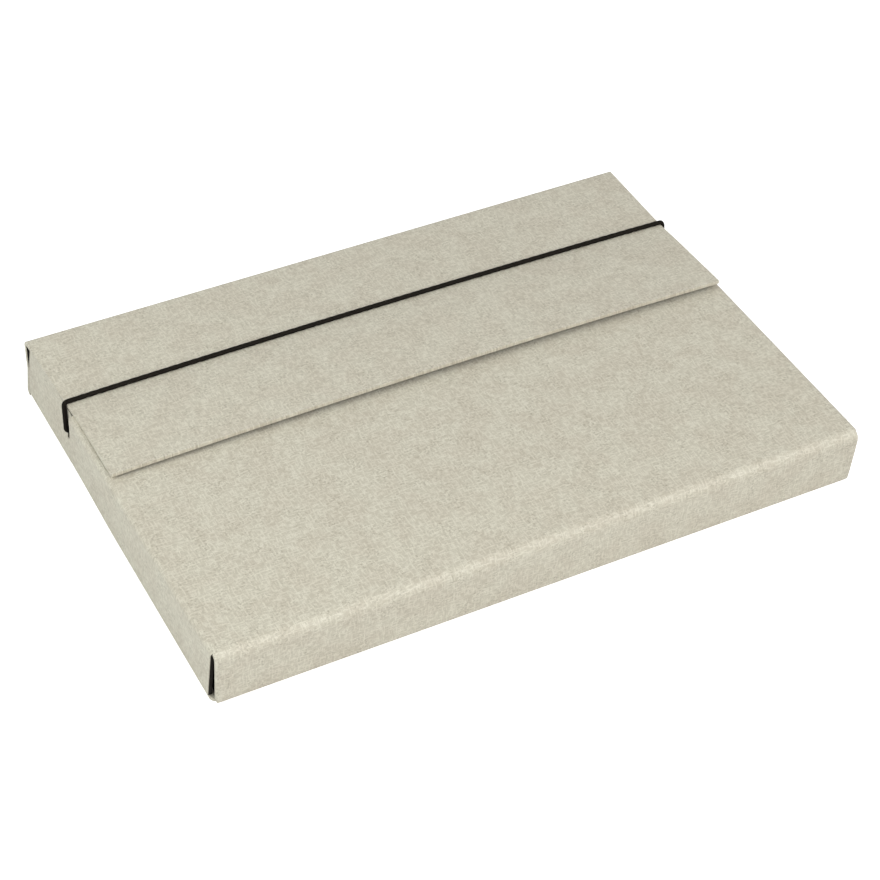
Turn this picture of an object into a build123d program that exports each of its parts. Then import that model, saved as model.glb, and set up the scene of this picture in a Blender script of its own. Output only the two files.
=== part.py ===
"""A4 document box of creased board: base, rear wall and rear side walls form the tray; the front
wall, a soft bend and the lid fold open from the front foot; side flaps hang from the lid; a closing
flap folds over from the rear wall, and a round elastic cord holds it down.

Frame: origin at the centre of the underside, +X along the length, +Y to the rear, +Z up. Millimetres."""

import os
from math import cos, pi, radians, sin, tan

from build123d import *

# Driving dimensions of the box
length = 320.0
depth = 225.0
height = 32.0

# The laminate: outer cover paper, board, dark lining paper
cover_thickness = 0.3
board_thickness = 1.5
lining_thickness = 0.2
crease_inner_radius = 0.5
bend_inner_radius = 2.5
clearance = 0.3

# The front wall, which the springy bend pushes out at its top, a little shorter than the base
front_lean = 5.5
front_inset = 1.0

# The closing flap, which rises a little towards its front edge
flap_depth = 109.0
flap_inset = 2.8
flap_rise = 2.0
flap_edge_radius = 1.0

# The lid and its hanging side flaps
lid_rear_edge = 40.0
side_flap_rear_head = 51.5
side_flap_splay = 1.5
side_flap_rear_foot = 54.6
side_flap_front_slant = 3.8
side_flap_gap = 0.4
slit_foot = 17.0

# The rear side walls, which lean inward
wall_lean = 5.0
wall_front_slant = 6.0
wall_rear_slant = 1.2
rear_slit_foot = 21.0
base_corner_radius = 2.0

# The corner tabs inside the rear corners
tab_thickness = 0.8
tab_width = 18.0
tab_height = 14.0

# The elastic cord and the bars that hold its ends
cord_diameter = 2.3
cord_rest = 60.0
cord_entry_y = 57.2
cord_entry_z = 18.4
cord_edge_clearance = 0.2
cord_entry_radius = 2.3
bar_thickness = 0.8
bar_width = 3.0
bar_height = 14.0

# Derived sizes of the laminate
sheet = cover_thickness + board_thickness + lining_thickness
crease_radius = crease_inner_radius + sheet
bend_radius = bend_inner_radius + sheet
cover_layer = (0.0, cover_thickness)
board_layer = (cover_thickness, cover_thickness + board_thickness)
lining_layer = (cover_thickness + board_thickness, sheet)
whole_layer = (0.0, sheet)

# Derived lines of the box
half_length = length / 2
half_depth = depth / 2
crease_x = half_length - crease_radius
crease_y = half_depth - crease_radius
crease_top = height - crease_radius
front_turn = radians(front_lean)
bend_z = height - bend_radius
front_reach = (
    bend_z - crease_radius - (bend_radius - crease_radius) * sin(front_turn)
) / cos(front_turn)
bend_y = (
    -crease_y
    - front_reach * sin(front_turn)
    + (bend_radius - crease_radius) * cos(front_turn)
)
front_half_length = half_length - front_inset
flap_half_length = half_length - flap_inset
wall_front_edge = side_flap_rear_foot + side_flap_gap

# The closing flap's own frame: out from the hinge crease, towards the front and slightly up
rise = radians(flap_rise)
flap_forward = Vector(0, -cos(rise), sin(rise))
hinge_crease = Vector(0, crease_y, crease_top)
flap_length = (flap_depth - crease_radius) / cos(rise)
flap_section = Plane(origin=hinge_crease, x_dir=(1, 0, 0), z_dir=flap_forward)


def flap_height_at(y, above):
    """The height of the flap's plane, a given distance above its hinge crease, at a place in Y."""
    return crease_top + above / cos(rise) + (crease_y - y) * tan(rise)


def outward_plane(side, at_y):
    """An upright section across a side wall: its x runs out of the box, its y runs up."""
    if side > 0:
        return Plane(origin=(0, at_y, 0), x_dir=(1, 0, 0), z_dir=(0, -1, 0))
    return Plane(origin=(0, at_y, 0), x_dir=(-1, 0, 0), z_dir=(0, 1, 0))


def annular_sector(centre, outer, layer, start, sweep_angle):
    """Sketch one layer of a crease: the part of a ring between two angles."""
    start_angle = radians(start)
    end_angle = radians(start + sweep_angle)
    far = outer - layer[0]
    near = outer - layer[1]
    with BuildLine() as outline:
        CenterArc(centre, far, start, sweep_angle)
        CenterArc(centre, near, start, sweep_angle)
        for angle in (start_angle, end_angle):
            Line(
                (centre[0] + near * cos(angle), centre[1] + near * sin(angle)),
                (centre[0] + far * cos(angle), centre[1] + far * sin(angle)),
            )
    make_face(outline.edges())


def wall_strip(centre, outer, layer, angle, direction, reach):
    """Sketch one layer of the flat wall that leaves a crease at an angle and runs for a reach."""
    turn = radians(angle)
    out = (cos(turn), sin(turn))
    along = (-sin(turn) * direction, cos(turn) * direction)
    far = outer - layer[0]
    near = outer - layer[1]
    root_far = (centre[0] + far * out[0], centre[1] + far * out[1])
    root_near = (centre[0] + near * out[0], centre[1] + near * out[1])
    with BuildLine() as outline:
        Polyline(
            root_far,
            (root_far[0] + reach * along[0], root_far[1] + reach * along[1]),
            (root_near[0] + reach * along[0], root_near[1] + reach * along[1]),
            root_near,
            close=True,
        )
    make_face(outline.edges())


def level(layer):
    """The heights of one layer of the base panel, cover side down."""
    return layer[0], layer[1] - layer[0]


# Base panel: full length in front, between the side creases at the rear
def base_sheet(layer):
    bottom, thickness = level(layer)
    with BuildPart() as part:
        with BuildSketch(Plane.XY.offset(bottom)):
            with BuildLine():
                Polyline(
                    (-half_length, -crease_y),
                    (half_length, -crease_y),
                    (half_length, wall_front_edge),
                    (crease_x, wall_front_edge),
                    (crease_x, crease_y),
                    (-crease_x, crease_y),
                    (-crease_x, wall_front_edge),
                    (-half_length, wall_front_edge),
                    close=True,
                )
            outline = make_face()
            front_corners = outline.vertices().group_by(Axis.Y)[0]
            fillet(front_corners, radius=base_corner_radius)
        extrude(amount=thickness)
    return part.part


# Rear wall: from its foot crease up to the flap's hinge crease
def rear_wall(layer):
    section = Plane(origin=(-half_length, 0, 0), x_dir=(0, 1, 0), z_dir=(1, 0, 0))
    crease = (crease_y, crease_radius)
    with BuildPart() as part:
        with BuildSketch(section):
            annular_sector(crease, crease_radius, layer, -90, 90)
            wall_strip(crease, crease_radius, layer, 0, 1, crease_top - crease_radius)
        extrude(amount=length)
    return part.part


# Rear side wall: creased up from the base, leaning in, its top edge just under the flap
def rear_side_wall(side, layer):
    crease = (crease_x, crease_radius)
    span = crease_y - wall_front_edge
    with BuildPart() as part:
        with BuildSketch(outward_plane(side, crease_y if side > 0 else wall_front_edge)):
            annular_sector(crease, crease_radius, layer, -90, 90 + wall_lean)
            wall_strip(crease, crease_radius, layer, wall_lean, 1, height)
        extrude(amount=span)
        front_top = flap_height_at(wall_front_edge, crease_inner_radius - clearance)
        rear_top = flap_height_at(crease_y, crease_inner_radius - clearance)
        with BuildSketch(Plane.YZ.offset(-length)):
            with BuildLine():
                Polyline(
                    (wall_front_edge, 0),
                    (crease_y, 0),
                    (crease_y, rear_slit_foot),
                    (crease_y - wall_rear_slant, rear_top),
                    (wall_front_edge + wall_front_slant, front_top),
                    (wall_front_edge, slit_foot),
                    close=True,
                )
            make_face()
        extrude(amount=2 * length, mode=Mode.INTERSECT)
        with BuildSketch(Plane.YZ.offset(-length)):
            notch_reach = cord_entry_y + cord_diameter / 2 + clearance
            notch_low = cord_entry_z - cord_diameter / 2 - clearance
            notch_high = cord_entry_z + cord_entry_radius + clearance
            with BuildLine():
                Polyline(
                    (wall_front_edge - sheet, notch_low),
                    (notch_reach, notch_low),
                    (notch_reach, notch_high),
                    (wall_front_edge - sheet, notch_high),
                    close=True,
                )
            make_face()
        extrude(amount=2 * length, mode=Mode.SUBTRACT)
    return part.part


# Corner tab: glued to the rear wall's lining, it holds the lower half of the rear corner
def corner_tab(side):
    tab_rear = half_depth - sheet
    wall_inner = crease_radius - sheet
    with BuildPart() as part:
        with BuildSketch(Plane.XZ.offset(-tab_rear)):
            low_x = crease_x + wall_inner - clearance
            lean_in = tab_height * tan(radians(wall_lean))
            with BuildLine():
                Polyline(
                    (side * low_x, crease_radius),
                    (side * (low_x - lean_in), crease_radius + tab_height),
                    (side * (low_x - tab_width), crease_radius + tab_height),
                    (side * (low_x - tab_width), crease_radius),
                    close=True,
                )
            make_face()
        extrude(amount=tab_thickness)
    return part.part


# Front wall, soft bend and lid panel: one continuous run of sheet
def front_wall(layer):
    section = Plane(origin=(front_half_length, 0, 0), x_dir=(0, -1, 0), z_dir=(-1, 0, 0))
    with BuildPart() as part:
        with BuildSketch(section):
            wall_strip(
                (crease_y, crease_radius), crease_radius, layer, -front_lean, 1, front_reach
            )
        extrude(amount=2 * front_half_length)
    return part.part


def front_bend(layer):
    section = Plane(origin=(front_half_length, 0, 0), x_dir=(0, -1, 0), z_dir=(-1, 0, 0))
    with BuildPart() as part:
        with BuildSketch(section):
            annular_sector(
                (-bend_y, bend_z), bend_radius, layer, -front_lean, 90 + front_lean
            )
        extrude(amount=2 * front_half_length)
    return part.part


def lid_panel(layer):
    with BuildPart() as part:
        with BuildSketch(Plane.XY.offset(height - layer[1])):
            with BuildLine():
                Polyline(
                    (-crease_x, bend_y),
                    (crease_x, bend_y),
                    (crease_x, lid_rear_edge),
                    (-crease_x, lid_rear_edge),
                    close=True,
                )
            make_face()
        extrude(amount=layer[1] - layer[0])
    return part.part


# One whole sheet of the lid: front wall, bend and lid panel together
def lid_sheet(layer):
    with BuildPart() as part:
        add(front_wall(layer))
        add(front_bend(layer))
        add(lid_panel(layer))
    return part.part


# Side flap: hangs from the lid's side crease, splayed out a little
def side_flap(side, layer):
    crease = (crease_x, crease_top)
    drop = crease_top - sheet - clearance
    front_head = bend_y - clearance
    front_foot = front_head + side_flap_front_slant
    with BuildPart() as part:
        with BuildSketch(outward_plane(side, half_depth if side > 0 else -half_depth)):
            wall_strip(crease, crease_radius, layer, side_flap_splay, -1, drop)
        extrude(amount=depth)
        foot = sheet + clearance
        with BuildSketch(Plane.YZ.offset(-length)):
            with BuildLine():
                Polyline(
                    (front_foot, 0),
                    (side_flap_rear_foot, 0),
                    (side_flap_rear_foot, slit_foot),
                    (side_flap_rear_head, height),
                    (bend_y, height),
                    (front_head, bend_z),
                    (front_foot, foot),
                    close=True,
                )
            make_face()
        extrude(amount=2 * length, mode=Mode.INTERSECT)
    return part.part


def side_crease(side):
    with BuildPart() as part:
        with BuildSketch(outward_plane(side, side_flap_rear_head if side > 0 else bend_y)):
            annular_sector(
                (crease_x, crease_top),
                crease_radius,
                whole_layer,
                side_flap_splay,
                90 - side_flap_splay,
            )
        extrude(amount=side_flap_rear_head - bend_y)
    return part.part


# Front foot crease: joins the base to the front wall
def front_foot_crease():
    section = Plane(origin=(front_half_length, 0, 0), x_dir=(0, -1, 0), z_dir=(-1, 0, 0))
    with BuildPart() as part:
        with BuildSketch(section):
            annular_sector(
                (crease_y, crease_radius), crease_radius, whole_layer, -90, 90 - front_lean
            )
        extrude(amount=2 * front_half_length)
    return part.part


# Closing flap: the cover is turned over its front and side edges
def flap_hinge_crease():
    section = Plane(origin=(-flap_half_length, 0, 0), x_dir=(0, 1, 0), z_dir=(1, 0, 0))
    with BuildPart() as part:
        with BuildSketch(section):
            annular_sector(
                (crease_y, crease_top), crease_radius, whole_layer, 0, 90 - flap_rise
            )
        extrude(amount=2 * flap_half_length)
    return part.part


def flap_profile(half_width, low, high, edge_radius):
    """Sketch the flap's section: flat below, with its two upper edges rounded."""
    with BuildLine() as outline:
        Polyline(
            (-half_width, high - edge_radius),
            (-half_width, low),
            (half_width, low),
            (half_width, high - edge_radius),
        )
        RadiusArc(
            (half_width, high - edge_radius), (half_width - edge_radius, high), -edge_radius
        )
        Line((half_width - edge_radius, high), (-half_width + edge_radius, high))
        RadiusArc(
            (-half_width + edge_radius, high), (-half_width, high - edge_radius), -edge_radius
        )
    make_face(outline.edges())


board_low = crease_inner_radius + lining_thickness
board_high = board_low + board_thickness

with BuildPart() as flap_board:
    with BuildSketch(flap_section):
        flap_profile(
            flap_half_length - cover_thickness,
            board_low,
            board_high,
            flap_edge_radius - cover_thickness,
        )
    extrude(amount=flap_length - cover_thickness)

with BuildPart() as flap_cover:
    with BuildSketch(flap_section):
        flap_profile(flap_half_length, board_low, board_high + cover_thickness, flap_edge_radius)
    extrude(amount=flap_length)
    with BuildSketch(flap_section):
        flap_profile(
            flap_half_length - cover_thickness,
            board_low,
            board_high,
            flap_edge_radius - cover_thickness,
        )
    extrude(amount=flap_length - cover_thickness, mode=Mode.SUBTRACT)

with BuildPart() as flap_lining:
    with BuildSketch(flap_section):
        with BuildLine():
            Polyline(
                (-flap_half_length, crease_inner_radius),
                (flap_half_length, crease_inner_radius),
                (flap_half_length, board_low),
                (-flap_half_length, board_low),
                close=True,
            )
        make_face()
    extrude(amount=flap_length)

# Elastic cord: one straight run over the flap, tight over both edges, in through both notches
cord_radius = cord_diameter / 2
cord_top = flap_height_at(cord_rest, crease_radius) + cord_radius + cord_edge_clearance / 2
cord_side = flap_half_length + cord_radius + cord_edge_clearance
lean = radians(wall_lean)
wall_outer_at_entry = crease_x + crease_radius / cos(lean) - (cord_entry_z - crease_radius) * tan(lean)
wall_inner_at_bar = (
    crease_x
    + crease_inner_radius / cos(lean)
    - (cord_entry_z + bar_height / 2 - crease_radius) * tan(lean)
)
cord_outside = wall_outer_at_entry + cord_radius + cord_edge_clearance
bar_face = wall_inner_at_bar - clearance / 2
cord_edge_radius = flap_edge_radius + cord_radius + cord_edge_clearance

with BuildPart() as elastic_cord:
    with BuildLine() as cord_path:
        FilletPolyline(
            (-bar_face, cord_entry_y, cord_entry_z),
            (-cord_outside, cord_entry_y, cord_entry_z),
            (-cord_side, cord_rest, cord_top),
            (cord_side, cord_rest, cord_top),
            (cord_outside, cord_entry_y, cord_entry_z),
            (bar_face, cord_entry_y, cord_entry_z),
            radius=[cord_entry_radius, cord_edge_radius, cord_edge_radius, cord_entry_radius],
        )
    with BuildSketch(Plane(origin=cord_path.line @ 0, z_dir=cord_path.line % 0)):
        Circle(cord_radius)
    sweep()
cord_length = sum(edge.length for edge in cord_path.edges())
print(f"elastic: {cord_length:.1f} mm long, radii {cord_entry_radius} and {cord_edge_radius:.2f} mm")
tube_volume = pi * cord_radius**2 * cord_length
print(f"volume {elastic_cord.part.volume:.1f}, section times length {tube_volume:.1f}")


# Bar: a small flat strip crimped to the cord's end, too long to pass back through the notch
def elastic_bar(side):
    with BuildPart() as part:
        with BuildSketch(Plane.YZ.offset(side * bar_face)):
            with Locations((cord_entry_y, cord_entry_z)):
                SlotOverall(bar_height, bar_width, rotation=90)
        extrude(amount=-side * bar_thickness)
    return part.part


os.makedirs("parts", exist_ok=True)


def write(piece, name):
    piece.label = name
    export_step(piece, f"parts/{name}.step")


layers = {"cover": cover_layer, "board": board_layer, "lining": lining_layer}
for layer_name, layer in layers.items():
    write(base_sheet(layer), f"base_{layer_name}")
    write(rear_wall(layer), f"rear_wall_{layer_name}")
    for side, side_name in ((-1, "left"), (1, "right")):
        write(rear_side_wall(side, layer), f"rear_side_{layer_name}_{side_name}")
        write(side_flap(side, layer), f"side_flap_{layer_name}_{side_name}")

for side, side_name in ((-1, "left"), (1, "right")):
    write(corner_tab(side), f"corner_tab_{side_name}")
    write(elastic_bar(side), f"elastic_bar_{side_name}")
    write(side_crease(side), f"side_crease_{side_name}")

write(front_wall(board_layer), "front_wall_board")
write(front_bend(board_layer), "front_bend_board")
write(lid_panel(board_layer), "lid_board")
write(lid_sheet(cover_layer), "lid_cover")
write(lid_sheet(lining_layer), "lid_lining")
write(front_foot_crease(), "front_foot_crease")
write(flap_hinge_crease(), "flap_hinge_crease")
write(flap_board.part, "flap_board")
write(flap_cover.part, "flap_cover")
write(flap_lining.part, "flap_lining")
write(elastic_cord.part, "elastic_cord")
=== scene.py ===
# %% [markdown]
# # A document box in linen-look paper
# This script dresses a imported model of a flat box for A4 papers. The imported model
# holds the real sizes and the bodies that move. This file gives every visible sheet
# its folds, its paper and its light. Everything is in metres, in the box's own
# frame: +X along the long side, +Y to the rear, +Z up, origin under the middle.

# %% Load the frame and keep its size
from math import asin, atan, atan2, cos, hypot, pi, radians, sin, sqrt, tan

import bpy
from mathutils import Matrix, Vector


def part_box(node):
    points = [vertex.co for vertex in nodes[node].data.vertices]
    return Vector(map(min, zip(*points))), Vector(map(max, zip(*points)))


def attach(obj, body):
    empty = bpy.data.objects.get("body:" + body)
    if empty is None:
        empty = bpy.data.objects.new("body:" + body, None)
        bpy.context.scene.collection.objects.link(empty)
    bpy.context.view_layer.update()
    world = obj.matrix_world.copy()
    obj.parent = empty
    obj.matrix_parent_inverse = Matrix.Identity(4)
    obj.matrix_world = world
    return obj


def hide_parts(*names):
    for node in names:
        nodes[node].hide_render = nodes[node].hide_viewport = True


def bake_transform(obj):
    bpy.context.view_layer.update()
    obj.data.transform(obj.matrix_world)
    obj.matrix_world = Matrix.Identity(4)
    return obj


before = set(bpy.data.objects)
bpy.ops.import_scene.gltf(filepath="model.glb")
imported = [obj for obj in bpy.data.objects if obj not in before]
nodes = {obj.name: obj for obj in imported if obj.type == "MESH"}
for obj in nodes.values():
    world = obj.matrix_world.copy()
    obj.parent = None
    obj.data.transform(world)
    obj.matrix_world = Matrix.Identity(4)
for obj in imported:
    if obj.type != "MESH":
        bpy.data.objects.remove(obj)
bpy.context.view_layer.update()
MM = 0.001

# %% [markdown]
# ## The lines that the sheets share
# The box is a laminate of three layers: cover paper, board, black lining paper. It
# is folded at small creases, and over one wide soft bend along the front. The
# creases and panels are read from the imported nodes, so that the skins follow the
# frame if it changes.

# %% Layers, creases and panels, read from the frame
base_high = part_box("base_cover")[1]
rear_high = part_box("rear_wall_cover")[1]
lid_low, lid_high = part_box("lid_cover")
panel_low, panel_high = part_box("lid_board")
flap_low, flap_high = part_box("flap_cover")
side_low, side_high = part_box("side_flap_cover_right")

sheet_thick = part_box("base_lining")[1].z
board_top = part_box("base_board")[1].z
cover_depth = (0.0, base_high.z)
board_depth = (base_high.z, board_top)
wrapped_depth = (0.0, board_top)
lining_depth = (board_top, sheet_thick)

half_length = base_high.x
crease_y = base_high.y
half_depth = rear_high.y
crease_radius = half_depth - crease_y
crease_x = panel_high.x
lid_top = lid_high.z
crease_top = lid_top - crease_radius
print("sheet", round(sheet_thick / MM, 2), "mm, crease radius", round(crease_radius / MM, 2), "mm")

# %% The front wall leans out, because the soft bend pushes against it
bend_y = panel_low.y
bend_radius = bend_y - lid_low.y
bend_z = lid_top - bend_radius
rise_to_bend = bend_z - crease_radius
reach_to_bend = -(bend_y + crease_y)
centre_gap = hypot(rise_to_bend, reach_to_bend)
lean = atan2(reach_to_bend, rise_to_bend) + asin((bend_radius - crease_radius) / centre_gap)
lid_rear = panel_high.y
print("bend radius", round(bend_radius / MM, 2), "mm, lean", round(lean * 180 / pi, 2), "degrees")

# %% [markdown]
# ## A path that a folded sheet follows
# Seen from its end, a folded sheet is a chain of straight runs and arcs. It could be
# a row of flat boxes, but then its folds would be sharp and its paper would stretch.
# A small path object gives the place and the outward direction at any distance
# along the fold, so a sheet can be laid on it row by row, as paper is.


# %% Straight runs and arcs in one path
class FoldPath:
    """A chain of runs and arcs; at(s) gives the point and outward direction."""

    def __init__(self):
        self.parts = []
        self.length = 0.0

    def run(self, start, end, out):
        size = hypot(end[0] - start[0], end[1] - start[1])
        self.parts.append(("run", self.length, size, start, end, out))
        self.length += size
        return self

    def arc(self, centre, radius, first, last):
        size = abs(last - first) * radius
        self.parts.append(("arc", self.length, size, centre, radius, (first, last)))
        self.length += size
        return self

    def at(self, s):
        for kind, start_s, size, a, b, c in self.parts:
            if s <= start_s + size + 1e-9:
                break
        share = (s - start_s) / size
        if kind == "run":
            point = (a[0] + share * (b[0] - a[0]), a[1] + share * (b[1] - a[1]))
            return point, c
        angle = c[0] + share * (c[1] - c[0])
        out = (cos(angle), sin(angle))
        return (a[0] + b * out[0], a[1] + b * out[1]), out

    def stops(self, fine, coarse):
        """Distances along the path: close together on arcs, wider on runs."""
        found = [0.0]
        for kind, start_s, size, *_ in self.parts:
            step = fine if kind == "arc" else coarse
            count = max(1, round(size / step))
            found += [start_s + size * (k + 1) / count for k in range(count)]
        return found


def around(centre, radius, angle):
    """The point at an angle on a crease, and its outward direction."""
    out = (cos(angle), sin(angle))
    return (centre[0] + radius * out[0], centre[1] + radius * out[1]), out


def smooth_step(t):
    t = min(1.0, max(0.0, t))
    return t * t * (3 - 2 * t)


# %% [markdown]
# ## One function for every sheet
# A sheet is a closed slab: an outer grid, an inner grid, and a rim between them, so
# it has a real thickness from every side. Its UV map holds the place on the flat,
# unfolded paper, in metres, so the weave runs on over every fold as it does on the
# real cover.


# %% Build a closed slab from a grid of places
def slab(name, columns, rows, place, paper):
    """place(i, j) gives the outer and inner points, paper(i, j) the flat place."""
    outer, inner, flat = [], [], []
    for i in range(rows):
        for j in range(columns):
            high, low = place(i, j)
            outer.append(high)
            inner.append(low)
            flat.append(paper(i, j))
    count = rows * columns
    faces = []

    def at(i, j, layer=0):
        return layer * count + i * columns + j

    for i in range(rows - 1):
        for j in range(columns - 1):
            quad = (at(i, j), at(i, j + 1), at(i + 1, j + 1), at(i + 1, j))
            faces.append(quad)
            faces.append(tuple(k + count for k in reversed(quad)))
    for i in range(rows - 1):
        faces.append((at(i, 0), at(i + 1, 0), at(i + 1, 0, 1), at(i, 0, 1)))
        last = columns - 1
        faces.append((at(i, last, 1), at(i + 1, last, 1), at(i + 1, last), at(i, last)))
    for j in range(columns - 1):
        faces.append((at(0, j), at(0, j, 1), at(0, j + 1, 1), at(0, j + 1)))
        last = rows - 1
        faces.append((at(last, j + 1), at(last, j + 1, 1), at(last, j, 1), at(last, j)))
    return finished_mesh(name, outer + inner, faces, lambda index: flat[index % count])


def finished_mesh(name, points, faces, paper_at):
    """Make the object, map its paper, smooth it and turn its faces outward."""
    mesh = bpy.data.meshes.new(name)
    mesh.from_pydata([tuple(point) for point in points], [], faces)
    paper_map = mesh.uv_layers.new(name="paper")
    for loop in mesh.loops:
        paper_map.data[loop.index].uv = paper_at(loop.vertex_index)
    mesh.calc_loop_triangles()
    volume = sum(
        mesh.vertices[t.vertices[0]].co.dot(
            mesh.vertices[t.vertices[1]].co.cross(mesh.vertices[t.vertices[2]].co)
        )
        for t in mesh.loop_triangles
    )
    if volume < 0:
        mesh.flip_normals()
    mesh.shade_smooth()
    mesh.set_sharp_from_angle(angle=radians(40))
    piece = bpy.data.objects.new(name, mesh)
    bpy.context.scene.collection.objects.link(piece)
    return piece


# %% Lay a slab along a path in the YZ plane, spread along X
edge_margin = 4 * MM
edge_steps = 8
middle_steps = 44


def across_shares():
    """Shares of a half width, from -1 to 1, closer together near both ends."""
    margin = edge_margin / half_length
    left = [-1 + margin * k / edge_steps for k in range(edge_steps)]
    middle = [(1 - margin) * (2 * k / middle_steps - 1) for k in range(middle_steps + 1)]
    right = [-share for share in reversed(left)]
    return left + middle + right


def lay_across(name, path, depths, half_width, lift_at, paper_v, stops, shift=lambda s: 0.0):
    """lift_at(x, s) is how far the sheet stands proud, shift(s) how far it is off centre."""
    shares = across_shares()

    def place(i, j):
        s = stops[i]
        (y, z), (out_y, out_z) = path.at(s)
        x = shares[j] * half_width(s)
        lift = lift_at(x, s)
        return tuple(
            Vector((x + shift(s), y + (lift - depth) * out_y, z + (lift - depth) * out_z))
            for depth in depths
        )

    def paper(i, j):
        return shares[j] * half_width(stops[i]), paper_v(stops[i])

    return slab(name, len(shares), len(stops), place, paper)


def soften_rim(piece, width, segments):
    """Round a slab's sharp rim a little, as a turned or pressed edge is."""
    bevel = piece.modifiers.new("soft rim", "BEVEL")
    bevel.width = width
    bevel.segments = segments
    bevel.limit_method = "ANGLE"
    bevel.angle_limit = radians(50)


# %% [markdown]
# ## Finishes
# The cover is a paper printed and pressed to look like linen: a pale warm grey, with
# light threads that cross over darker gaps, faint beige and green clouds, and small
# dark flecks. A photograph of linen could be wrapped round it, but noise read at the
# unfolded paper's own coordinates needs no picture, and it never repeats. The lining
# is plain black paper, the board shows at its cut edges only, and the cord is a
# braided black elastic.


# %% Small helpers for shader nodes
def new_material(name):
    material = bpy.data.materials.new(name)
    material.use_nodes = True
    tree = material.node_tree
    return material, tree, tree.nodes["Principled BSDF"]


def linear(red, green, blue):
    """A colour seen on a screen (0 to 255) as the light that it stands for."""
    found = []
    for value in (red, green, blue):
        share = value / 255
        found.append(share / 12.92 if share <= 0.04045 else ((share + 0.055) / 1.055) ** 2.4)
    return (*found, 1.0)


def connect(tree, value, socket):
    """Link an output to a socket, or set the socket to a plain value."""
    if hasattr(value, "is_output"):
        tree.links.new(value, socket)
    else:
        socket.default_value = value


def math_node(tree, operation, a, b):
    made = tree.nodes.new("ShaderNodeMath")
    made.operation = operation
    connect(tree, a, made.inputs[0])
    connect(tree, b, made.inputs[1])
    return made.outputs[0]


def remap(tree, value, low, high, to_low=0.0, to_high=1.0):
    made = tree.nodes.new("ShaderNodeMapRange")
    made.interpolation_type = "SMOOTHSTEP"
    made.inputs["From Min"].default_value = low
    made.inputs["From Max"].default_value = high
    made.inputs["To Min"].default_value = to_low
    made.inputs["To Max"].default_value = to_high
    connect(tree, value, made.inputs["Value"])
    return made.outputs["Result"]


def mix_colour(tree, factor, first, second):
    made = tree.nodes.new("ShaderNodeMix")
    made.data_type = "RGBA"
    connect(tree, factor, made.inputs[0])
    connect(tree, first, made.inputs[6])
    connect(tree, second, made.inputs[7])
    return made.outputs[2]


def bump(tree, shader, height, strength, distance):
    made = tree.nodes.new("ShaderNodeBump")
    made.inputs["Strength"].default_value = strength
    made.inputs["Distance"].default_value = distance
    connect(tree, height, made.inputs["Height"])
    tree.links.new(made.outputs["Normal"], shader.inputs["Normal"])


# %% Noise in real sizes on the unfolded paper
seed_step_u = 7.31
seed_step_v = 3.77


def paper_noise(tree, place, size_u, size_v, seed, detail=1.0):
    """Noise whose grains are about size_u by size_v, in metres."""
    mapping = tree.nodes.new("ShaderNodeMapping")
    mapping.inputs["Scale"].default_value = (1 / size_u, 1 / size_v, 1.0)
    mapping.inputs["Location"].default_value = (seed * seed_step_u, seed * seed_step_v, 0.0)
    tree.links.new(place, mapping.inputs["Vector"])
    noise = tree.nodes.new("ShaderNodeTexNoise")
    noise.noise_dimensions = "2D"
    noise.inputs["Scale"].default_value = 1.0
    noise.inputs["Detail"].default_value = detail
    tree.links.new(mapping.outputs[0], noise.inputs["Vector"])
    return noise.outputs["Fac"]


# %% [markdown]
# ### The linen-look cover paper
# In a weave the upper thread hides the lower one. So two stretched noises, one along
# the box and one across it, are joined by their maximum: where either is high, its
# light thread lies on top, and where both are low, the darker gap shows. The same
# value drives the bump, because the paper is pressed where it is printed.

# %% Cover paper
thread_length = 3.6 * MM
thread_width = 0.85 * MM
gap_colour = linear(181, 174, 157)
thread_colour = linear(219, 214, 198)
warm_cloud = linear(194, 186, 170)
green_cloud = linear(210, 207, 191)
fleck_colour = linear(138, 130, 113)
cloud_size = 16 * MM
cloud_share = 0.32
fleck_length = 1.3 * MM
fleck_width = 0.9 * MM
fleck_share = 0.6
patch_size = 9 * MM
grain_size = 0.42 * MM
grain_share = 0.5
grain_relief = 0.3
press_strength = 0.5
press_depth = 0.0002


def make_cover_paper():
    material, tree, shader = new_material("linen look cover paper")
    paper_map = tree.nodes.new("ShaderNodeUVMap")
    paper_map.uv_map = "paper"
    place = paper_map.outputs["UV"]
    along = paper_noise(tree, place, thread_length, thread_width, 3)
    across = paper_noise(tree, place, thread_width, thread_length, 4)
    weave = math_node(tree, "MAXIMUM", along, across)
    colour = mix_colour(tree, remap(tree, weave, 0.40, 0.74), gap_colour, thread_colour)

    clouds = paper_noise(tree, place, cloud_size, cloud_size, 1, detail=3.0)
    tint = mix_colour(tree, remap(tree, clouds, 0.38, 0.62), warm_cloud, green_cloud)
    colour = mix_colour(tree, cloud_share, colour, tint)

    flecks = paper_noise(tree, place, fleck_length, fleck_width, 5, detail=2.0)
    patches = paper_noise(tree, place, patch_size, patch_size, 6, detail=2.0)
    shown = math_node(
        tree, "MULTIPLY", remap(tree, flecks, 0.52, 0.72), remap(tree, patches, 0.40, 0.66)
    )
    colour = mix_colour(tree, math_node(tree, "MULTIPLY", shown, fleck_share), colour, fleck_colour)

    grain = paper_noise(tree, place, grain_size, grain_size, 7, detail=2.0)
    colour = mix_colour(tree, remap(tree, grain, 0.3, 0.7, 0.0, grain_share), colour, gap_colour)
    height = math_node(tree, "ADD", weave, math_node(tree, "MULTIPLY", grain, grain_relief))
    bump(tree, shader, height, press_strength, press_depth)
    tree.links.new(colour, shader.inputs["Base Color"])
    shader.inputs["Roughness"].default_value = 0.5
    shader.inputs["Specular IOR Level"].default_value = 0.45
    return material


cover_paper = make_cover_paper()


# %% Lining paper, board, elastic and steel
fibre_depth = 0.00006
stroke_depth = 0.00003


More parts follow.
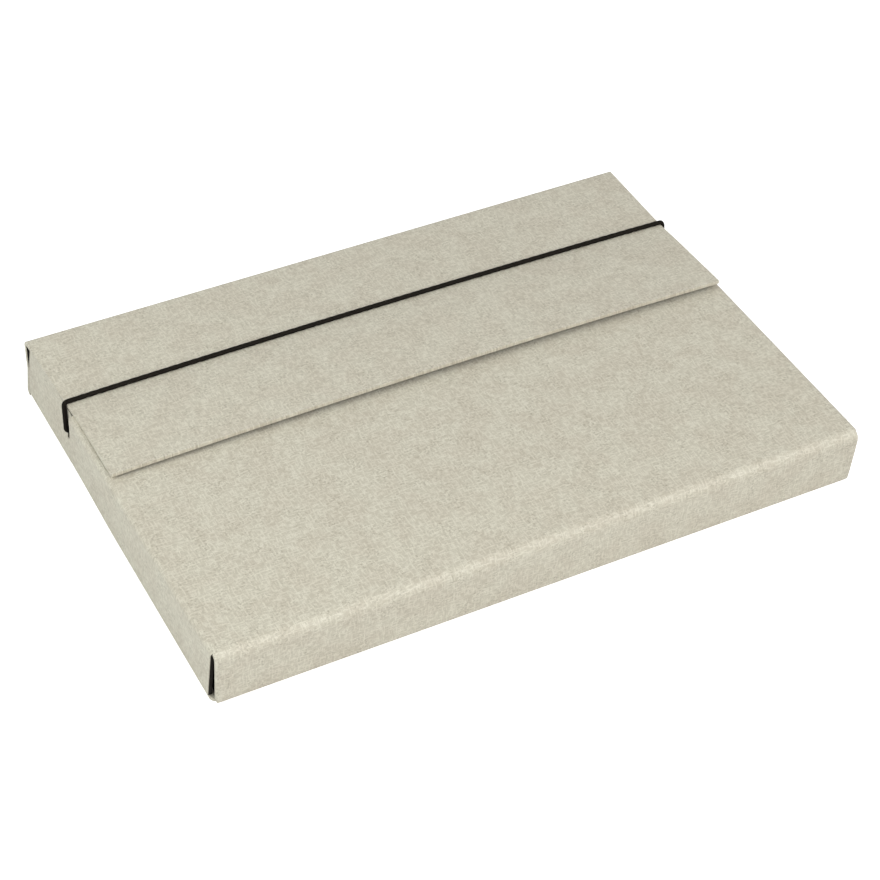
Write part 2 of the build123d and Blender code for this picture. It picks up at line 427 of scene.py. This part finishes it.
def object_noise(tree, size, stretch=(1.0, 1.0, 1.0), detail=3.0):
    """Noise with grains of about a size in metres, at the object's own places."""
    coordinates = tree.nodes.new("ShaderNodeTexCoord")
    mapping = tree.nodes.new("ShaderNodeMapping")
    mapping.inputs["Scale"].default_value = [way / size for way in stretch]
    noise = tree.nodes.new("ShaderNodeTexNoise")
    noise.inputs["Scale"].default_value = 1.0
    noise.inputs["Detail"].default_value = detail
    tree.links.new(coordinates.outputs["Object"], mapping.inputs["Vector"])
    tree.links.new(mapping.outputs[0], noise.inputs["Vector"])
    return noise.outputs["Fac"]


def make_fibrous(name, dark, light, size, roughness, relief, sheen=0.25):
    """Paper, board or thread: two close colours mixed by fine fibres, a little rough."""
    material, tree, shader = new_material(name)
    fibres = object_noise(tree, size)
    colour = mix_colour(tree, remap(tree, fibres, 0.32, 0.68), dark, light)
    bump(tree, shader, fibres, relief, fibre_depth)
    tree.links.new(colour, shader.inputs["Base Color"])
    shader.inputs["Roughness"].default_value = roughness
    shader.inputs["Specular IOR Level"].default_value = sheen
    return material


lining_paper = make_fibrous(
    "black lining paper", linear(20, 19, 18), linear(31, 29, 27),
    size=0.6 * MM, roughness=0.8, relief=0.3,
)
# The board is coloured near black, so its cut edges show dark beside the slits.
board_edge = make_fibrous(
    "near-black board", linear(30, 27, 23), linear(46, 42, 37),
    size=0.7 * MM, roughness=0.9, relief=0.4,
)
braided_elastic = make_fibrous(
    "braided black elastic", linear(14, 11, 8), linear(32, 28, 23),
    size=0.5 * MM, roughness=0.9, relief=0.3, sheen=0.12,
)


def make_steel():
    material, tree, shader = new_material("brushed steel")
    strokes = object_noise(tree, 0.4 * MM, (1.0, 1.0, 0.08))
    colour = mix_colour(tree, strokes, linear(140, 140, 141), linear(188, 188, 186))
    bump(tree, shader, strokes, 0.2, stroke_depth)
    tree.links.new(colour, shader.inputs["Base Color"])
    shader.inputs["Metallic"].default_value = 1.0
    shader.inputs["Roughness"].default_value = 0.35
    return material


brushed_steel = make_steel()
print("finishes:", len(bpy.data.materials))

# %% [markdown]
# ## The lid run: front foot, front wall, soft bend and lid
# On the real box one laminate runs from the foot crease up the front wall, over a
# wide soft bend and back over the lid. Modelled as separate boards it would show
# gaps at the bend, so each layer is one sheet on one path. Only the foot crease
# bends when the lid opens.

# %% Path of the lid run, from the base's front edge to the lid's rear edge
foot_centre = (-crease_y, crease_radius)
bend_centre = (bend_y, bend_z)
lean_angle = pi + lean


def lid_path():
    path = FoldPath()
    path.arc(foot_centre, crease_radius, -pi / 2, lean_angle - 2 * pi)
    wall_foot, out = around(foot_centre, crease_radius, lean_angle)
    wall_head, _ = around(bend_centre, bend_radius, lean_angle)
    path.run(wall_foot, wall_head, out)
    path.arc(bend_centre, bend_radius, lean_angle, pi / 2)
    path.run((bend_y, lid_top), (lid_rear, lid_top), (0, 1))
    return path


lid_run = lid_path()
bend_start = lid_run.parts[2][1]
bend_end = lid_run.parts[3][1]
print("lid run in mm:", round(lid_run.length / MM, 1))

# %% [markdown]
# ### Where the side fold ends on the bend
# The fold between lid and side flap doesn't stop where the lid starts to curve: it
# goes a little way round the bend, and there the cut begins that frees the front
# wall. So the sheet is narrow down to that place, and wide below it. Its free margin
# still droops where it leaves the fold, and flattens on its way down the wall.

# %% Width and crown of the lid run
fold_end = radians(70)
fold_end_s = bend_start + bend_radius * (lean + fold_end)
shoulder = 0.05 * MM
wall_half = lid_high.x
foot_cut = 2.4 * MM
foot_run = 5.0 * MM
droop_run = 9 * MM
lid_crown = 1.0 * MM
crown_run = 45 * MM


def lid_half_width(s):
    """Rounded off at the foot, wide up the wall, and narrow from the fold's end on."""
    if s < foot_run:
        return wall_half - foot_cut * (1 - s / foot_run) ** 2
    return wall_half + (crease_x - wall_half) * smooth_step(1 + (s - fold_end_s) / shoulder)


def lid_lift(x, s):
    """The lid's middle stands proud, and the wall's free margins droop at their top."""
    bow = lid_crown * (1 - (x / wall_half) ** 2) * smooth_step((s - bend_start) / crown_run)
    beyond = min(max(0.0, abs(x) - crease_x), crease_radius)
    droop = crease_radius - sqrt(crease_radius**2 - beyond**2)
    return bow - droop * smooth_step(1 - (fold_end_s - s) / droop_run)


def paper_from_front(s):
    """Place on the unfolded paper, measured from the base's middle."""
    return -crease_y - s


lid_stops = lid_run.stops(fine=0.6 * MM, coarse=5 * MM)
lid_stops = sorted(lid_stops + [fold_end_s - shoulder, fold_end_s])


# %% Lay the lid run: the board wrapped in its cover, and the lining
lining_inset = 0.3 * MM


lid_outside = lay_across(
    "lid_run_cover", lid_run, wrapped_depth, lid_half_width, lid_lift, paper_from_front, lid_stops
)
lid_outside.data.materials.append(cover_paper)
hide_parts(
    "lid_cover", "front_foot_crease", "front_wall_board", "front_bend_board",
    "lid_board",
)

lid_inside = lay_across(
    "lid_run_lining", lid_run, lining_depth, lambda s: lid_half_width(s) - lining_inset,
    lid_lift, paper_from_front, lid_stops,
)
lid_inside.data.materials.append(lining_paper)
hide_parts("lid_lining")

for piece, depths in ((lid_outside, wrapped_depth), (lid_inside, lining_depth)):
    depth = sum(depths) / 2
    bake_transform(piece)
    print(piece.name, len(piece.data.polygons), "faces")

# %% [markdown]
# ## The rear run: rear wall, hinge crease and closing flap
# The same idea goes up the rear wall and forward over the hinge crease. The flap is
# not flat: the elastic pulls its two ends down, its middle stands proud in a low
# crown, and its right front corner stays up a little more than its left one. Curves
# through a few chosen heights give that shape.

# %% Path of the rear run
lining_low, lining_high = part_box("flap_lining")
flap_half = flap_high.x
flap_front = flap_low.y
flap_rise = atan(
    (lining_high.z - lining_low.z - sheet_thick + board_top) / (lining_high.y - lining_low.y)
)
hinge_centre = (crease_y, crease_top)
flap_reach = (crease_y - flap_front) / cos(flap_rise) - crease_radius * tan(flap_rise)


def rear_path():
    path = FoldPath()
    path.arc((crease_y, crease_radius), crease_radius, -pi / 2, 0.0)
    path.run((half_depth, crease_radius), (half_depth, crease_top), (1, 0))
    path.arc(hinge_centre, crease_radius, 0.0, pi / 2 - flap_rise)
    start, out = around(hinge_centre, crease_radius, pi / 2 - flap_rise)
    tip = (start[0] - flap_reach * out[1], start[1] + flap_reach * out[0])
    return path.run(start, tip, out)


rear_run = rear_path()
hinge_start = rear_run.parts[2][1]
hinge_end = rear_run.parts[3][1]
print("flap rises", round(flap_rise * 180 / pi, 2), "degrees over", round(flap_reach / MM, 1), "mm")


# %% How the flap is bent by the elastic
def curve_through(stations, at):
    """A smooth curve through (place, value) pairs, flat before and after them."""
    if at <= stations[0][0]:
        return stations[0][1]
    if at >= stations[-1][0]:
        return stations[-1][1]
    k = max(n for n in range(len(stations) - 1) if stations[n][0] <= at)
    (x0, v0), (x1, v1) = stations[k], stations[k + 1]

    def slope(n):
        low, high = stations[max(n - 1, 0)], stations[min(n + 1, len(stations) - 1)]
        return (high[1] - low[1]) / (high[0] - low[0])

    t, span = (at - x0) / (x1 - x0), x1 - x0
    ends = v0 * (1 + 2 * t) * (1 - t) ** 2 + v1 * t * t * (3 - 2 * t)
    return ends + span * (slope(k) * t * (1 - t) ** 2 + slope(k + 1) * t * t * (t - 1))


cord_rest_y = 60 * MM
cord_place = (crease_y - cord_rest_y) / cos(flap_rise)
lid_edge_place = (crease_y - lid_rear) / cos(flap_rise)
ends_pulled = (
    (0.0, 0.0),
    (cord_place / 2, -0.55 * MM),
    (cord_place, -1.1 * MM),
    (lid_edge_place, -0.35 * MM),
    (flap_reach, 0.1 * MM),
)
middle_crown = ((0.0, 0.0), (cord_place, 1.6 * MM), (flap_reach, 2.2 * MM))
right_lift = ((0.0, 0.0), (lid_edge_place, 0.05 * MM), (flap_reach, 0.6 * MM))


def flap_lift(x, s):
    """How far the flap stands off its packed plane."""
    far, share = s - hinge_end, x / flap_half
    bow = curve_through(middle_crown, far) * (1 - share**2)
    return bow + curve_through(ends_pulled, far) + share * curve_through(right_lift, far)


# %% [markdown]
# ### Width of the rear run
# The side walls lean in, and up to the foot of the rear slit the rear wall is cut to
# follow them. Above that it widens again towards the hinge. The flap gets a little
# narrower to its front edge and hangs up to half a millimetre to the right, as a
# hand-folded flap does.

# %% Half width and shift along the rear run
wall_lean = radians(5.0)
rear_slit_foot = 15 * MM
flap_widths = (
    (0.0, half_length - 0.8 * MM), (cord_place, half_length - 1.9 * MM),
    (flap_reach, half_length - 2.2 * MM),
)
flap_shifts = ((0.0, 0.3 * MM), (cord_place, 0.5 * MM), (flap_reach, 0.1 * MM))


def rear_half_width(s):
    if s > hinge_start:
        return curve_through(flap_widths, s - hinge_end)
    z = rear_run.at(s)[0][1]
    beside_wall = half_length - max(0.0, min(z, rear_slit_foot) - crease_radius) * tan(wall_lean)
    upper = max(0.0, (z - rear_slit_foot) / (crease_top - rear_slit_foot))
    return beside_wall + (flap_widths[0][1] - beside_wall) * upper


def rear_shift(s):
    if s > hinge_start:
        return curve_through(flap_shifts, s - hinge_end)
    return flap_shifts[0][1] * smooth_step((rear_run.at(s)[0][1] - rear_slit_foot) / crease_top)


def paper_from_rear(s):
    return crease_y + s


# %% Lay the rear run: a wrapped outside and its lining, which ends inside the rim
rear_stops = rear_run.stops(fine=0.5 * MM, coarse=3 * MM)
rim_on_wall = 0.4 * MM
rim_on_flap = 3 * MM


def rim(s):
    return rim_on_wall + (rim_on_flap - rim_on_wall) * smooth_step((s - hinge_end) / rim_on_flap)


rear_outside = lay_across(
    "rear_run_cover", rear_run, wrapped_depth, rear_half_width, flap_lift, paper_from_rear,
    rear_stops, rear_shift,
)
rear_outside.data.materials.append(cover_paper)
soften_rim(rear_outside, width=0.55 * MM, segments=3)
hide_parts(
    "rear_wall_cover", "rear_wall_board", "flap_hinge_crease", "flap_cover",
    "flap_board",
)

rear_inside = lay_across(
    "rear_run_lining", rear_run, lining_depth, lambda s: rear_half_width(s) - rim(s),
    flap_lift, paper_from_rear, rear_stops[:-1] + [rear_stops[-1] - rim_on_wall], rear_shift,
)
rear_inside.data.materials.append(lining_paper)
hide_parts("rear_wall_lining", "flap_lining")

for piece in (rear_outside, rear_inside):
    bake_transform(piece)
    print(piece.name, len(piece.data.polygons), "faces")

# %% [markdown]
# ## Side flaps of the lid
# Each long edge of the lid turns down into a side flap. A plain strip along the edge
# would leave a dark line beside the soft bend, so the first columns of the grid are
# swept round the bend: there the crease and the bend meet in a small rounded corner.
# Below it the flap's front edge slants back, and that opens the slit at the corner.
# The flap stands out a little at its foot, less towards the rear, where the
# photographed outline runs straight on into the rear side wall.

# %% Path and edges of a side flap
splay = atan((side_high.x - half_length) / (crease_top - side_low.z))
side_foot = side_low.z
side_centre = (crease_x, crease_top)
foot_set_back = 3.5 * MM
front_foot_y = side_low.y + foot_set_back
rear_foot_y = side_high.y
rear_head_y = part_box("side_crease_right")[1].y
slit_foot = 14 * MM


def side_path():
    path = FoldPath().arc(side_centre, crease_radius, pi / 2, splay)
    start, out = around(side_centre, crease_radius, splay)
    drop = (start[1] - side_foot) / cos(splay)
    return path.run(start, (start[0] + drop * out[1], start[1] - drop * out[0]), out)


side_run = side_path()
fold_z = side_run.at(side_run.parts[1][1])[0][1]
fold_height = fold_z - bend_z
fold_front_y = bend_y - fold_height * cos(fold_end)


def side_front_edge(z):
    """From the fold's end straight down to the foot, slanting back."""
    share = (z - side_foot) / (fold_z - side_foot)
    return front_foot_y + (fold_front_y - front_foot_y) * share


def side_rear_edge(z):
    """Upright at its head, and curving back towards the foot of the slit."""
    share = min(1.0, (lid_top - z) / (lid_top - slit_foot))
    return rear_head_y + (rear_foot_y - rear_head_y) * share**3


print("side fold ends at y", round(fold_front_y / MM, 1), "mm")

# %% Lay a side flap, with its front columns swept round the bend
corner_columns = 6
straight_columns = 60
cut_fade = 14 * MM
held_run = 60 * MM


def behind_cut(y, z):
    """Columns step back behind the slanting cut, less and less further along."""
    back = side_front_edge(z) - fold_front_y
    return y + back * (1 - smooth_step((y - fold_front_y) / cut_fade))


def lay_side_flap(name, side, depths):
    stops = side_run.stops(fine=0.45 * MM, coarse=1.6 * MM)

    def corner(z, out, depth, k):
        """A column of the rounded corner, between the fold's end and the bend's top."""
        angle = fold_end + (pi / 2 - fold_end) * k / corner_columns
        height = z - bend_z - depth * out[1]
        if z - bend_z >= fold_height - 1e-6:
            return bend_y - height * cos(angle), bend_z + height * sin(angle)
        fan = (z - side_foot) / (fold_z - side_foot)
        y = behind_cut(bend_y - fold_height * cos(angle), z)
        return y, z - depth * out[1] - fold_height * (1 - sin(angle)) * fan

    def spot(i, j, depth):
        (x, z), out = side_run.at(stops[i])
        if j < corner_columns:
            y, height = corner(z, out, depth, j)
        else:
            share = (j - corner_columns) / straight_columns
            y = behind_cut(bend_y + (side_rear_edge(z) - bend_y) * share, z)
            height = z - depth * out[1]
        hang = max(0.0, fold_z - z) * tan(splay)
        held = hang * smooth_step((y - rear_head_y) / held_run + 1)
        return Vector((side * (x - depth * out[0] - held), y, height))

    def place(i, j):
        return tuple(spot(i, j, depth) for depth in depths)

    def paper(i, j):
        y = spot(i, j, 0.0).y
        return side * (crease_x + stops[i]), paper_from_front(bend_end) - (y - bend_y)

    return slab(name, corner_columns + straight_columns + 1, len(stops), place, paper)


# %% Make the side flaps, left and right
layers = (
    ("cover", cover_depth, cover_paper, "cover_paper"),
    ("board", board_depth, board_edge, "board"),
    ("lining", lining_depth, lining_paper, "lining_paper"),
)
both_sides = ((-1, "left"), (1, "right"))
for side, word in both_sides:
    for layer, depths, finish, finish_slot in layers:
        piece = lay_side_flap(f"side_flap_run_{layer}_{word}", side, depths)
        piece.data.materials.append(finish)
        depth = sum(depths) / 2
        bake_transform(piece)
        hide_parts(f"side_flap_{layer}_{word}")
        if layer == "board":
            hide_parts(f"side_crease_{word}")
        print(piece.name, len(piece.data.polygons), "faces")

# %% [markdown]
# ## Rear side walls
# Behind the side flaps the base turns up into a short wall on each side. It leans in
# and its upper edge lies just under the closing flap. Its front edge is upright, with
# a notch where the elastic goes in that narrows towards its top. A Boolean could cut
# the notch, but moving the grid's first column back does it with clean faces.

# %% Path and edges of a rear side wall
bar_low, bar_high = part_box("elastic_bar_right")
entry_y = (bar_low.y + bar_high.y) / 2
entry_z = (bar_low.z + bar_high.z) / 2
cord_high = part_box("elastic_cord")[1]
cord_radius = 1.15 * MM
wall_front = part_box("rear_side_cover_right")[0].y
wall_rear_slant = 1.2 * MM
wall_rear_top = lid_top - sheet_thick - 0.15 * MM
wall_front_top = wall_rear_top + 0.05 * MM
notch_reach = entry_y + cord_radius + 0.3 * MM
notch_low = slit_foot
notch_high = entry_z + 2.6 * MM
notch_mouth = 25 * MM
wall_head = wall_front - 0.7 * MM


def wall_path():
    wall_centre = (crease_x, crease_radius)
    path = FoldPath().arc(wall_centre, crease_radius, -pi / 2, wall_lean)
    start, out = around(wall_centre, crease_radius, wall_lean)
    reach = (wall_front_top - start[1]) / cos(wall_lean)
    return path.run(start, (start[0] - reach * out[1], start[1] + reach * out[0]), out)


def wall_top_at(y):
    return wall_rear_top + (wall_front_top - wall_rear_top) * (crease_y - y) / (crease_y - wall_front)


def wall_front_edge(z):
    """Straight below the slit, cut back at the cord's notch, and forward again above it."""
    if z < notch_low:
        return wall_front
    if z <= notch_high:
        return notch_reach
    share = min(1.0, (z - notch_high) / (notch_mouth - notch_high))
    return notch_reach + (wall_head - notch_reach) * share


def wall_rear_edge(z):
    share = max(0.0, (z - rear_slit_foot) / (wall_rear_top - rear_slit_foot))
    return crease_y - wall_rear_slant * share


wall_run = wall_path()
wall_fold = wall_run.parts[1][1]

# %% Lay a rear side wall
wall_columns = 24
notch_lip = 0.05 * MM


def wall_stops():
    """Even stops up the wall, with a close pair at the notch's lower edge."""
    stops = wall_run.stops(fine=0.5 * MM, coarse=1.2 * MM)
    s = wall_fold + (notch_low - wall_run.at(wall_fold)[0][1]) / cos(wall_lean)
    return sorted(stops + [s - notch_lip, s + notch_lip])


def lay_rear_side_wall(name, side, depths):
    stops = wall_stops()

    def spot(i, j):
        (x, z), out = wall_run.at(stops[i])
        front, rear = wall_front_edge(z), wall_rear_edge(z)
        y = front + (rear - front) * j / wall_columns
        foot = crease_radius
        kept = (wall_top_at(y) - foot) / (wall_front_top - foot)
        height = z if z < foot else foot + (z - foot) * kept
        return x, y, height, out

    def place(i, j):
        x, y, z, out = spot(i, j)
        return tuple(
            Vector((side * (x - depth * out[0]), y, z - depth * out[1])) for depth in depths
        )

    def paper(i, j):
        return side * (crease_x + stops[i]), spot(i, j)[1]

    return slab(name, wall_columns + 1, len(stops), place, paper)


for side, word in both_sides:
    for layer, depths, finish, finish_slot in layers:
        piece = lay_rear_side_wall(f"rear_side_wall_{layer}_{word}", side, depths)
        piece.data.materials.append(finish)
        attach(piece, "tray")
        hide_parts(f"rear_side_{layer}_{word}")
        print(piece.name, len(piece.data.polygons), "faces")

# %% [markdown]
# ## The elastic
# A round braided elastic lies tight over the flap, turns over both edges and goes in
# at the notches. A smooth curve through a few chosen points is its line, and the
# braid is real relief on a tube along that line: two sets of strands that cross.

# %% The line of the elastic
cord_s = hinge_end + cord_place
cord_side = rear_half_width(cord_s) + cord_radius
cord_outside = cord_high.x - cord_radius
corner_reach = 4.2 * MM
over_flap = (52 * MM, 104 * MM, 140 * MM)


def cord_height(x):
    (y, z), out = rear_run.at(cord_s)
    return z + (flap_lift(x, cord_s) + cord_radius) * out[1]


def half_route(side):
    """Points of one half, from the flap's middle over its edge to the bar."""
    edge = side * cord_side + rear_shift(cord_s)
    top_corner = Vector((edge, cord_rest_y, cord_height(edge)))
    low_corner = Vector((side * cord_outside, entry_y, entry_z))
    down = (low_corner - top_corner).normalized()
    over = [Vector((side * x, cord_rest_y, cord_height(side * x))) for x in over_flap]
    over.append(top_corner - Vector((side * corner_reach, 0, 0)))
    side_part = [top_corner, top_corner + down * corner_reach, (top_corner + low_corner) / 2]
    side_part += [low_corner - down * corner_reach, low_corner]
    return over + side_part + [Vector((side * bar_low.x, entry_y, entry_z))]


def elastic_route():
    middle = Vector((0, cord_rest_y, cord_height(0.0)))
    return list(reversed(half_route(-1))) + [middle] + half_route(1)


def smooth_line(route):
    """The points of a smooth curve that is steered by the route's points."""
    curve = bpy.data.curves.new("elastic line", "CURVE")
    curve.dimensions = "3D"
    curve.resolution_u = 24
    spline = curve.splines.new("NURBS")
    spline.points.add(len(route) - 1)
    for control, point in zip(spline.points, route):
        control.co = (*point, 1.0)
    spline.order_u = 3
    spline.use_endpoint_u = True
    holder = bpy.data.objects.new("elastic line", curve)
    line = bpy.data.meshes.new_from_object(holder)
    points = [vertex.co.copy() for vertex in line.vertices]
    bpy.data.objects.remove(holder)
    bpy.data.curves.remove(curve)
    bpy.data.meshes.remove(line)
    return points


line_points = smooth_line(elastic_route())
line_length = sum((b - a).length for a, b in zip(line_points, line_points[1:]))
print("elastic in mm:", round(line_length / MM, 1))

# %% The braided tube along that line
strands = 8
braid_pitch = 5.0 * MM
braid_relief = 0.05
middle_strand = 0.8
ring_step = 0.45 * MM
ring_sides = 32


def rings_along(points, step):
    """Places on the line at a steady step, with the direction of the line there."""
    found, covered, goal = [], 0.0, 0.0
    for a, b in zip(points, points[1:]):
        size = (b - a).length
        while goal <= covered + size and size > 0:
            found.append((a.lerp(b, (goal - covered) / size), (b - a).normalized()))
            goal += step
        covered += size
    return found


def braided_tube(name, points):
    rings = rings_along(points, ring_step)
    vertices, faces, flat = [], [], []
    for n, (centre, ahead) in enumerate(rings):
        side = ahead.cross(Vector((0, 1, 0))).normalized()
        top = side.cross(ahead)
        turn = 2 * pi * n * ring_step / braid_pitch
        for k in range(ring_sides):
            angle = 2 * pi * k / ring_sides
            first = cos(strands / 2 * angle + turn)
            second = cos(strands / 2 * angle - turn)
            radius = cord_radius * (1 + braid_relief * (max(first, second) - middle_strand))
            vertices.append(centre + (side * cos(angle) + top * sin(angle)) * radius)
            flat.append((n * ring_step, angle * cord_radius))
    for n in range(len(rings) - 1):
        for k in range(ring_sides):
            a = n * ring_sides + k
            b = n * ring_sides + (k + 1) % ring_sides
            faces.append((a, b, b + ring_sides, a + ring_sides))
    faces.append(tuple(reversed(range(ring_sides))))
    faces.append(tuple(range((len(rings) - 1) * ring_sides, len(rings) * ring_sides)))
    return finished_mesh(name, vertices, faces, lambda index: flat[index])


elastic = braided_tube("elastic_cord_braided", line_points)
elastic.data.materials.append(braided_elastic)
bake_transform(elastic)
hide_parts("elastic_cord")
print(elastic.name, len(elastic.data.polygons), "faces")

# %% [markdown]
# ## The base
# The base rests on the table in the same cover paper, which is turned in over the
# free edges of its board, so no dark board shows at the foot of the front slit. Its
# outline is full length at the front, with rounded corners. It narrows a little as it
# comes to the rear side walls, with the side flaps' feet, and is narrower still
# between those walls. Rows are set closer together where the outline changes.

# %% Base: the board wrapped in its cover, and the lining inside the turned-in edge
base_corner = 3.0 * MM
base_columns = 60
turn_in = 3.0 * MM
rear_narrowing = 0.7 * MM
long_rows = 20
rear_rows = 8
outline_step = 0.01 * MM
corner_shares = (0.0, 0.1, 0.3, 0.6)


def base_half_width(y):
    if y > wall_front:
        return crease_x
    into_corner = max(0.0, base_corner - (y + crease_y))
    narrower = rear_narrowing * smooth_step((y - wall_front) / held_run + 1)
    return half_length - narrower - base_corner + sqrt(base_corner**2 - into_corner**2)


def base_rows():
    front = [-crease_y + base_corner * share for share in corner_shares]
    long_start = -crease_y + base_corner
    long_size = wall_front - long_start
    long_part = [long_start + long_size * k / long_rows for k in range(long_rows + 1)]
    step_back = wall_front + outline_step
    rear_part = [step_back + (crease_y - step_back) * k / rear_rows for k in range(rear_rows + 1)]
    return front + long_part + rear_part


def lay_base(name, depths, margin):
    rows = base_rows()

    def across(i, j):
        kept = margin if rows[i] <= wall_front else 0.0
        return (2 * j / base_columns - 1) * (base_half_width(rows[i]) - kept)

    def place(i, j):
        return tuple(Vector((across(i, j), rows[i], depth)) for depth in depths)

    return slab(
        name, base_columns + 1, len(rows), place, lambda i, j: (across(i, j), rows[i])
    )


base_sheet = lay_base("base_cover_sheet", wrapped_depth, 0.0)
base_sheet.data.materials.append(cover_paper)
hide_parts("base_cover", "base_board")

base_inside = lay_base("base_lining_sheet", lining_depth, turn_in)
base_inside.data.materials.append(lining_paper)
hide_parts("base_lining")

for piece in (base_sheet, base_inside):
    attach(piece, "tray")
    print(piece.name, len(piece.data.polygons), "faces")

# %% [markdown]
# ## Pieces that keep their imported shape
# The small tabs in the rear corners and the bars that hold the elastic's ends have
# the right shape already. They only get the finish that they have on the real box.

# %% Finishes for the kept nodes
kept_finishes = {
    "corner_tab_left": lining_paper,
    "corner_tab_right": lining_paper,
    "elastic_bar_left": brushed_steel,
    "elastic_bar_right": brushed_steel,
}
for name, finish in kept_finishes.items():
    mesh = nodes[name].data
    mesh.materials.clear()
    mesh.materials.append(finish)

# %% [markdown]
# ## Camera
# The photograph looks down on the box from its front left, with a long lens. The
# camera's place and directions were worked out from the box's corners and edges, so
# that the model's outline falls on the photographed one.

# %% Camera at the photograph's place
photo_side = 880
focal_pixels = 2427.7
camera_place = Vector((-403.19, -756.38, 760.30)) * MM
camera_forward = Vector((0.35418, 0.65759, -0.66492)).normalized()
camera_right = Vector((0.88879, -0.45784, 0.02064)).normalized()
camera_data = bpy.data.cameras.new("camera")
camera_data.sensor_width = 36.0
camera_data.lens = focal_pixels / photo_side * camera_data.sensor_width
camera_data.clip_start = 0.01
camera = bpy.data.objects.new("camera", camera_data)
bpy.context.scene.collection.objects.link(camera)
camera_up = camera_right.cross(camera_forward)
axes = Matrix((camera_right, camera_up, -camera_forward)).transposed()
camera.matrix_world = Matrix.Translation(camera_place) @ axes.to_4x4()
bpy.context.scene.camera = camera

# %% [markdown]
# ## Floor and light
# The box was photographed on a white sheet in soft light from all sides. The world
# gives most of the light, and two broad lamps shape it: one at the front right puts
# the pale band on the soft bend, and one at the left brightens that side. The floor
# is lifted to white for the camera only. The background is white to the camera and in
# reflections, so neither changes the soft light that falls on the box. The box rests
# on the sheet, at height zero.

# %% White floor that keeps the box's shadow
floor_mesh = bpy.data.meshes.new("floor")
floor_reach = 3.0
floor_grey = 0.82
floor_lift = 0.64
corners = ((-1, -1), (1, -1), (1, 1), (-1, 1))
floor_mesh.from_pydata([(floor_reach * x, floor_reach * y, 0) for x, y in corners], [], [(0, 1, 2, 3)])
floor = bpy.data.objects.new("floor", floor_mesh)
bpy.context.scene.collection.objects.link(floor)


def make_floor_paint():
    """Grey to the box, and lifted to white where the camera looks at it directly."""
    material, tree, shader = new_material("white sheet")
    shader.inputs["Base Color"].default_value = (floor_grey, floor_grey, floor_grey, 1.0)
    shader.inputs["Roughness"].default_value = 1.0
    shader.inputs["Specular IOR Level"].default_value = 0.0
    shader.inputs["Emission Color"].default_value = (1.0, 1.0, 1.0, 1.0)
    seen = tree.nodes.new("ShaderNodeLightPath").outputs["Is Camera Ray"]
    lift = math_node(tree, "MULTIPLY", seen, floor_lift)
    tree.links.new(lift, shader.inputs["Emission Strength"])
    return material


floor_mesh.materials.append(make_floor_paint())


# %% World and lamps
def soft_lamp(name, place, width, height, power, colour):
    data = bpy.data.lights.new(name, "AREA")
    data.shape = "RECTANGLE"
    data.size = width
    data.size_y = height
    data.energy = power
    data.color = colour
    lamp = bpy.data.objects.new(name, data)
    lamp.location = place
    lamp.rotation_euler = (-Vector(place)).to_track_quat("-Z", "Y").to_euler()
    bpy.context.scene.collection.objects.link(lamp)


def make_world(strength):
    """Even studio light, which the camera and shiny surfaces see as pure white."""
    world = bpy.data.worlds.new("studio")
    world.use_nodes = True
    tree = world.node_tree
    background = tree.nodes["Background"]
    background.inputs["Color"].default_value = (1.0, 1.0, 1.0, 1.0)
    path = tree.nodes.new("ShaderNodeLightPath")
    seen = math_node(tree, "MAXIMUM", path.outputs["Is Camera Ray"], path.outputs["Is Glossy Ray"])
    seen = math_node(tree, "MAXIMUM", seen, path.outputs["Is Transmission Ray"])
    lift = math_node(tree, "MULTIPLY", seen, 1.0 - strength)
    tree.links.new(math_node(tree, "ADD", lift, strength), background.inputs["Strength"])
    return world


soft_lamp(
    "front lamp", (0.46, -1.26, 1.12), width=2.2, height=0.8, power=20.0, colour=(1.0, 1.0, 0.99)
)
soft_lamp(
    "left lamp", (-0.84, -0.12, 0.72), width=0.8, height=0.8, power=6.0, colour=(0.95, 1.0, 0.98)
)
bpy.context.scene.world = make_world(strength=0.42)
bpy.context.scene.view_settings.view_transform = "Standard"
